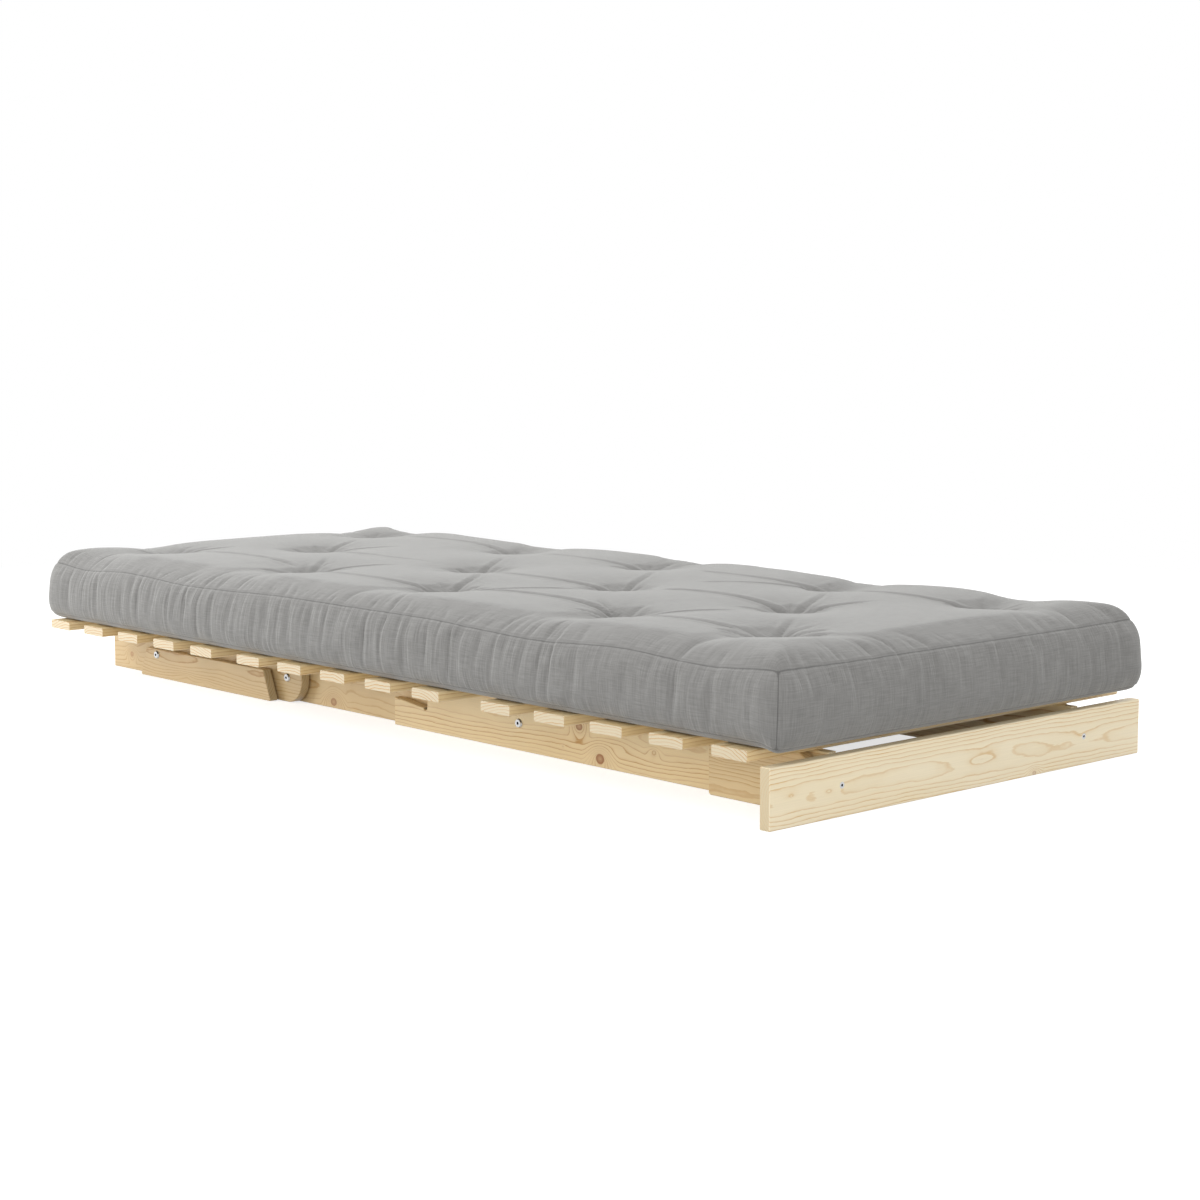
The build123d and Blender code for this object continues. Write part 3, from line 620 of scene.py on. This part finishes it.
def cover_mesh():
    """The cover as sewn: a top panel, a band in four lengths round the sides, and a bottom panel. Also
    gives the number of points in the top panel, and the points along its top and foot seams."""
    back, inward = np.meshgrid(np.linspace(0, LENGTH, round(LENGTH / MESH) + 1),
                               np.linspace(0, WIDTH, round(WIDTH / MESH) + 1), indexing="ij")
    index = np.arange(back.size).reshape(back.shape)
    # sewn with soft hollows where the folds will be creased
    height = top_height(back, inward) - fold_lines(back, inward, FOLDS, SOFT_FOLD, 0.0) * 0.6
    x, y, _ = round_corners(inward - SEAM_SIDE, back + SEAM_FRONT, CORNER)
    top = np.stack([x, y, height], -1).reshape(-1, 3)
    edge = from_seam(back, inward)
    spread_x, spread_y = 1 + FOOT_SPREAD / np.array([SEAM_SIDE, LENGTH / 2])
    hang = DROOP * smooth((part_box("seat_slat_1")[0].y - 5 * MM - y) / DROOP_REACH)
    level = UNDERSIDE - hang + (FOOT_SEAM - UNDERSIDE) * np.exp(-edge / FOOT_ROUND)
    under = np.stack([x * spread_x, CENTRE + (y - CENTRE) * spread_y, level], -1).reshape(-1, 3)
    ring = np.concatenate([index[0, :-1], index[:-1, -1], index[-1, :0:-1], index[:0:-1, 0]])
    ring_x, ring_y = (inward - SEAM_SIDE).reshape(-1)[ring], (back + SEAM_FRONT).reshape(-1)[ring]
    to_corner = np.minimum.reduce([np.hypot(ring_x - a, ring_y - b) for a in (-SEAM_SIDE, SEAM_SIDE)
                                   for b in (SEAM_FRONT, SEAM_HEAD)])
    # the sides stand out most at the corners, and a little more at the front ones
    fullness = BULGE * (1.5 - 0.5 * smooth(to_corner / (110 * MM)))
    fullness += FRONT_FULLNESS * (1 - smooth((ring_y - SEAM_FRONT + to_corner) / (180 * MM)))
    border = np.minimum.reduce([back, LENGTH - back, inward, WIDTH - inward]).reshape(-1)
    points, rows, count = [top, under], [ring], 2 * len(top)
    fall, to_seam = [-edge.reshape(-1), 1.0 + edge.reshape(-1)], [border, border]
    tall = TOP_SEAM - FOOT_SEAM
    for step in range(1, BAND_ROWS):
        down = step / BAND_ROWS
        swell = 1 - abs(2 * down - 1) ** 3.4
        x, y, outward = round_corners(ring_x, ring_y, CORNER + FULLER_CORNER * swell)
        level = np.stack([x, y, top[ring, 2] * (1 - down) + under[ring, 2] * down], -1)
        level[:, 0] *= 1 + (spread_x - 1) * down
        level[:, 1] = CENTRE + (level[:, 1] - CENTRE) * (1 + (spread_y - 1) * down)
        points.append(level + outward * (fullness * swell)[:, None])
        fall.append(np.full(len(ring), down))
        to_seam.append(np.minimum(to_corner, min(down, 1 - down) * tall))
        rows.append(np.arange(count, count + len(ring)))
        count += len(ring)
    rows.append(ring + len(top))
    quads = np.stack([index[:-1, :-1], index[:-1, 1:], index[1:, 1:], index[1:, :-1]], -1).reshape(-1, 4)
    flat = np.stack([back, inward], -1).reshape(-1, 2)
    faces = [quads, quads[:, ::-1] + len(top)]
    cut = [flat[quads], flat[quads[:, ::-1]] + BOTTOM_CUT]
    paces = np.linalg.norm(np.diff(top[np.append(ring, ring[0]), :2], axis=0), axis=1)
    walk = np.concatenate([[0], np.cumsum(paces)])
    drop = tall * BAND_SLACK / BAND_ROWS
    for step, (upper, lower) in enumerate(zip(rows[:-1], rows[1:])):
        faces.append(np.stack([upper, lower, np.roll(lower, -1), np.roll(upper, -1)], -1))
        high, low = np.full(len(ring), step * drop), np.full(len(ring), (step + 1) * drop)
        measure = [(walk[:-1], high), (walk[:-1], low), (walk[1:], low), (walk[1:], high)]
        cut.append(np.stack([np.stack(corner, -1) for corner in measure], 1) + BAND_CUT)
    posts = [[int(row[corner]) for row in rows] for corner in np.nonzero(to_corner < TINY)[0]]
    stitched = [pair for line in (rows[0], rows[-1]) for pair in around(line.tolist())]
    stitched += [pair for post in posts for pair in zip(post[:-1], post[1:])]
    mesh = build_cover(*map(np.concatenate, (points, faces, cut, fall, to_seam)),
                       {tuple(sorted(pair)) for pair in stitched})
    return mesh, len(top), np.unique(np.concatenate([rows[0], rows[-1]]))


def read(owner, field, width=1, kind=np.float32):
    """One property of every item of a mesh, as an array."""
    values = np.empty(len(owner) * width, kind)
    owner.foreach_get(field, values)
    return values.reshape(-1, width) if width > 1 else values


def points_of(mesh):
    """A mesh's vertices as an array."""
    return read(mesh.vertices, "co", 3).astype(float)


def values_of(mesh, name):
    """One of a mesh's point attributes as an array."""
    return read(mesh.attributes[name].data, "value")


def move_points(mesh, co):
    """Puts a mesh's vertices where an array says."""
    mesh.vertices.foreach_set("co", co.astype(np.float32).reshape(-1))
    mesh.update()


def even(rows):
    """Evens each row of an array with the two beside it."""
    rows[1:-1] = (rows[:-2] + 2 * rows[1:-1] + rows[2:]) / 4


def settle(mesh, top_count, seam_points):
    """Lets the cover settle over its filling: cloth under pressure, held at its seams, its tufts and
    its underside, and cut a little larger than the filling, so that it gathers."""
    cloth = show("settling", mesh)
    start = points_of(mesh)
    fall = values_of(mesh, "fall")
    held = set(range(top_count, 2 * top_count)) | set(seam_points.tolist())
    back, inward = start[:top_count, 1] - SEAM_FRONT, start[:top_count, 0] + SEAM_SIDE
    for tuft_back, tuft_in in TUFTS:
        held |= set(np.nonzero(np.hypot(back - tuft_back, inward - tuft_in) < 8 * MM)[0].tolist())
    cloth.vertex_groups.new(name="held").add(sorted(held), 1.0, "REPLACE")
    # cut fuller beside the seams and round the sides, in ten steps
    loose = cloth.vertex_groups.new(name="loose")
    looseness = np.round(10 * smooth(1 - np.maximum(-fall, 0) / (90 * MM)))
    for step in range(1, 11):
        loose.add(np.nonzero(looseness == step)[0].tolist(), step / 10, "REPLACE")
    action = cloth.modifiers.new("cloth", "CLOTH")
    fabric = action.settings
    fabric.quality = 5
    fabric.mass = 0.2
    fabric.tension_stiffness = fabric.compression_stiffness = 25
    fabric.shear_stiffness = 12
    fabric.bending_stiffness = 0.3
    fabric.tension_damping = fabric.compression_damping = 12
    fabric.air_damping = 6
    fabric.use_pressure = True
    fabric.uniform_pressure_force = 3.0
    fabric.vertex_group_mass = "held"
    fabric.pin_stiffness = 1.0
    fabric.vertex_group_shrink = "loose"
    fabric.shrink_min, fabric.shrink_max = -0.025, -0.03
    fabric.effector_weights.gravity = 0
    action.collision_settings.use_collision = False
    action.collision_settings.use_self_collision = False
    action.point_cache.frame_start, action.point_cache.frame_end = 1, SETTLING_FRAMES
    for moment in range(1, SETTLING_FRAMES + 1):
        scene.frame_set(moment)
    settled = cloth.evaluated_get(bpy.context.evaluated_depsgraph_get())
    moved = points_of(settled.to_mesh()) - start
    settled.to_mesh_clear()
    bpy.data.objects.remove(cloth)
    scene.frame_set(1)
    # thick cloth has no small ripples: even the movement over the top, and mostly up and down the band
    rows, columns = round(LENGTH / MESH) + 1, round(WIDTH / MESH) + 1
    top = moved[:top_count].reshape(rows, columns, 3)
    for _ in range(7):
        even(top)
        even(top.swapaxes(0, 1))
    band = moved[2 * top_count:].reshape(-1, 2 * (rows + columns - 2), 3)
    for _ in range(5):
        even(band)
    band[:] = (np.roll(band, 1, 1) + 2 * band + np.roll(band, -1, 1)) / 4
    reach = np.linalg.norm(moved, axis=1, keepdims=True)
    move_points(mesh, start + moved * np.minimum(1.0, SETTLES / np.maximum(reach, 1e-9)))


def subdivided(mesh):
    """The mesh with one smooth subdivision."""
    rough = show("rough", mesh)
    finer = rough.modifiers.new("finer", "SUBSURF")
    finer.levels = 1
    finer.uv_smooth = "NONE"
    made = bpy.data.meshes.new_from_object(rough.evaluated_get(bpy.context.evaluated_depsgraph_get()))
    bpy.data.objects.remove(rough)
    return made


def plan_gathers():
    """Where the cover is gathered along its seams. Each is a side, a place along it, the tuft that it
    is drawn towards, a width, a depth, how far it runs down the side and up the top, and its bow."""
    made = []
    for side, (length, axis, row) in enumerate(SIDES):
        pulls = [tuft[axis] for tuft in row]
        place = SEAM_END
        while place < length - SEAM_END:
            pull = min(pulls, key=lambda tuft: abs(tuft - place))
            near_tuft = bell(place - pull, 110 * MM)
            width = chance.uniform(3.5, 7.5) * MM
            deep = (0.5 + (2.3 + near_tuft) * chance.uniform() ** 2.5) * MM
            down = chance.uniform(0.8, 2.2) if side < 2 else chance.uniform(0.25, 0.9)
            up = chance.uniform(15, 55 + 70 * near_tuft) * MM
            made.append((side, place, pull, width, deep, down, up, chance.uniform(-5, 5) * MM))
            place += chance.uniform(9, 33 - 10 * near_tuft) * MM
    return made


def plan_puckers():
    """Short creases that fan out round each tuft, in the form of the folds."""
    made = []
    for tuft in TUFTS:
        turn = chance.uniform(0, 2 * math.pi)
        for _ in range(9):
            turn += chance.uniform(0.45, 0.95)
            reach = chance.uniform(45, 115) * MM
            end = (tuft[0] + reach * math.cos(turn), tuft[1] + reach * math.sin(turn))
            made.append((tuft, end, chance.uniform(-5, 5), chance.uniform(2.0, 4.5), 0.0, 0.9))
    return made


def gather(mesh, folds, gathers, width, sharp):
    """Pushes a mesh in along its folds and gathers. width is the folds' own, in metres, and sharp is
    1 for crisp valleys with lips and 0 for the soft hollows that lead to them."""
    co = points_of(mesh)
    normal = read(mesh.vertices, "normal", 3)
    fall, to_seam = values_of(mesh, "fall"), values_of(mesh, "to_seam")
    top = fall < 0
    back, inward = co[:, 1] - SEAM_FRONT, co[:, 0] + SEAM_SIDE
    push = np.zeros(len(co))
    push[top] -= fold_lines(back[top], inward[top], folds, width, 0.5 * sharp)
    nearest = np.stack([inward, WIDTH - inward, back, LENGTH - back], 1).argmin(1)
    gathered = (fall > -GATHER_LIMIT) & (fall < 1.0)
    mine = [np.nonzero(gathered & (nearest == side))[0] for side in range(4)]
    for side, place, pull, breadth, deep, down, up, bow in gathers:
        length, axis, _ = SIDES[side]
        along = (inward if axis else back)[mine[side]]
        close = np.abs(along - place) < GATHER_REACH
        spots, along = mine[side][close], along[close]
        drop = fall[spots]
        climb = np.maximum(-drop, 0)
        # it leans towards its tuft as it climbs, bows a little down the side, and fades at both ends,
        # at the mattress's corners and at the seam
        centre = place + (pull - place) * (climb / TUFT_INSET) ** 1.3
        centre += bow * np.sin(math.pi * np.maximum(drop, 0))
        envelope = np.where(drop >= 0, 1 - smooth(drop / down), 1 - smooth(climb / up))
        envelope = envelope * smooth(np.minimum(place, length - place) / (30 * MM))
        envelope = envelope * (0.2 + 0.8 * smooth(to_seam[spots] / (12 * MM)))
        breadth = breadth * (1.6 - 0.6 * sharp)
        away = np.abs(along - centre)
        shape = np.exp(-(away / breadth) ** (2 - 0.8 * sharp))
        shape = shape - 0.18 * sharp * bell(away - 2.2 * breadth, 1.1 * breadth)
        push[spots] -= deep * envelope * shape
    return co, normal, push


def sew(mesh, folds, gathers):
    """Creases the cover and draws the thread in along each seam, so that it lies in a fine groove."""
    co, normal, push = gather(mesh, folds, gathers, CRISP_FOLD, 1.0)
    push -= 1.1 * MM * (values_of(mesh, "to_seam") < 0.5 * MM)
    move_points(mesh, co + normal * push[:, None])


def tie_threads(co):
    """A short crossed stitch of waxed thread at the bottom of every tuft. Gives the points of each of
    its two arms, and the faces of one arm."""
    arms = []
    for number, (back, inward) in enumerate(TUFTS):
        spot = np.array([inward - SEAM_SIDE, back + SEAM_FRONT])
        near = np.hypot(co[:, 0] - spot[0], co[:, 1] - spot[1]) < ARM_REACH
        near &= co[:, 2] > (UNDERSIDE + TOP_SEAM) / 2
        foot = np.array([*spot, co[near, 2].min() + 0.8 * MM])
        for turn in (0.5 + number * 0.7, 2.0 + number * 0.7):
            way = np.array([math.cos(turn), math.sin(turn), 0.0])
            side = np.array([-way[1], way[0], 0.0])
            points = []
            for part in np.linspace(-1, 1, ARM_RINGS):
                middle = foot + UP * 2.4 * MM * (1 - part ** 4) + way * part * ARM_REACH
                for angle in np.arange(ARM_SIDES) * 2 * math.pi / ARM_SIDES:
                    points.append(middle + 1.1 * MM * (side * math.cos(angle) + UP * math.sin(angle)))
            arms.append(points)
    faces = []
    for first in range(0, (ARM_RINGS - 1) * ARM_SIDES, ARM_SIDES):
        for here, there in around(list(range(first, first + ARM_SIDES))):
            faces.append((here, there, there + ARM_SIDES, here + ARM_SIDES))
    return np.array(arms), faces


def cut_piece(name, cover, keep, arms, arm_faces):
    """One length of the mattress as its own closed mesh. It keeps the whole cover's shading, so that no
    join shows where two lengths meet."""
    loops = np.arange(len(cover["corners"])).reshape(-1, 4)[keep].reshape(-1)
    used, local = np.unique(cover["corners"][loops], return_inverse=True)
    polygons = local.reshape(-1, 4).tolist()
    edges = {pair for polygon in polygons for pair in around(polygon)}
    follow = {b: a for a, b in edges if (b, a) not in edges}
    # each open end is turned in by a hem before it is closed, so that the cap stays inside the cloth
    hems, caps, count = [], [], len(used)
    while follow:
        first = next(iter(follow))
        ring, step = [first], follow.pop(first)
        while step != first:
            ring.append(step)
            step = follow.pop(step, first)
        inner = list(range(count, count + len(ring)))
        hems.append(cover["points"][used[ring]] - cover["outward"][used[ring]] * HEM)
        caps += [[a, b, d, c] for (a, b), (c, d) in zip(around(ring), around(inner))]
        caps.append(inner)
        count += len(ring)
    tie_faces = [[corner + count + number * ARM_RINGS * ARM_SIDES for corner in face]
                 for number in range(len(arms)) for face in arm_faces]
    mesh = bpy.data.meshes.new(name)
    mesh.from_pydata(np.concatenate([cover["points"][used], *hems, *arms]).tolist(), [],
                     polygons + caps + tie_faces)
    flat = np.zeros((len(mesh.loops), 2), np.float32)
    flat[:len(loops)] = cover["cut"][loops]
    mesh.uv_layers.new(name="cut").uv.foreach_set("vector", flat.reshape(-1))
    to_seam = np.ones(len(mesh.vertices), np.float32)
    to_seam[:len(used)] = cover["to_seam"][used]
    mesh.attributes.new("to_seam", "FLOAT", "POINT").data.foreach_set("value", to_seam)
    counts = [len(polygons), len(caps), len(tie_faces)]
    mesh.polygons.foreach_set("material_index", np.repeat(np.int32([0, 0, 1]), counts))
    mesh.polygons.foreach_set("use_smooth", np.repeat([True, False, True], counts))
    shading = np.zeros((len(mesh.loops), 3), np.float32)
    shading[:len(loops)] = cover["normals"][loops]
    mesh.normals_split_custom_set(shading.tolist())
    for material in (canvas, thread):
        mesh.materials.append(material)
    return show(name, mesh)


def bend(piece):
    """Bakes a length of mattress's placing into its mesh and reads its points; it does not bend it."""
    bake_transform(piece)
    co = points_of(piece.data)


def part_at(points):
    """Which length of the mattress each point belongs to: 0 the seat's, 1 the back's, 2 the head's."""
    behind = points[:, 1] - HEAD_HINGE - HEAD_LEAN * (points[:, 2] - HINGE_HEIGHT)
    return 1 * (points[:, 1] >= (BACK_HINGE + HEAD_HINGE) / 2) + (behind >= 0)


canvas = cotton_canvas("grey_cotton_canvas")
thread = waxed_thread("waxed_thread")
gathers = plan_gathers()
folds = FOLDS + plan_puckers()
flat_cover, top_count, seam_points = cover_mesh()
# soft hollows where the gathers will be, and only then the settling and the fine creases
loose, outward, push = gather(flat_cover, [], gathers, SOFT_FOLD, 0.0)
move_points(flat_cover, loose + outward * push[:, None] * 0.4)
settle(flat_cover, top_count, seam_points)
sewn = subdivided(flat_cover)
sew(sewn, folds, gathers)
cover = {
    "points": points_of(sewn),
    "outward": read(sewn.vertices, "normal", 3),
    "to_seam": values_of(sewn, "to_seam"),
    "corners": read(sewn.loops, "vertex_index", kind=np.int32),
    "normals": read(sewn.corner_normals, "vector", 3),
    "cut": read(sewn.uv_layers["cut"].uv, "vector", 2),
}
arms, arm_faces = tie_threads(cover["points"])
face_part, arm_part = part_at(read(sewn.polygons, "center", 3)), part_at(arms.mean(1))
seat_part, back_part, head_part = parts = [
    cut_piece(f"mattress_{length}_part", cover, face_part == number, arms[arm_part == number], arm_faces)
    for number, length in enumerate(("seat", "back", "head"))]
bpy.data.meshes.remove(sewn)

bend(seat_part)
bend(back_part)
bend(head_part)
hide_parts("mattress_seat", "mattress_seat_fold")
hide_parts("mattress_back")
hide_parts("mattress_head_fold", "mattress_head")
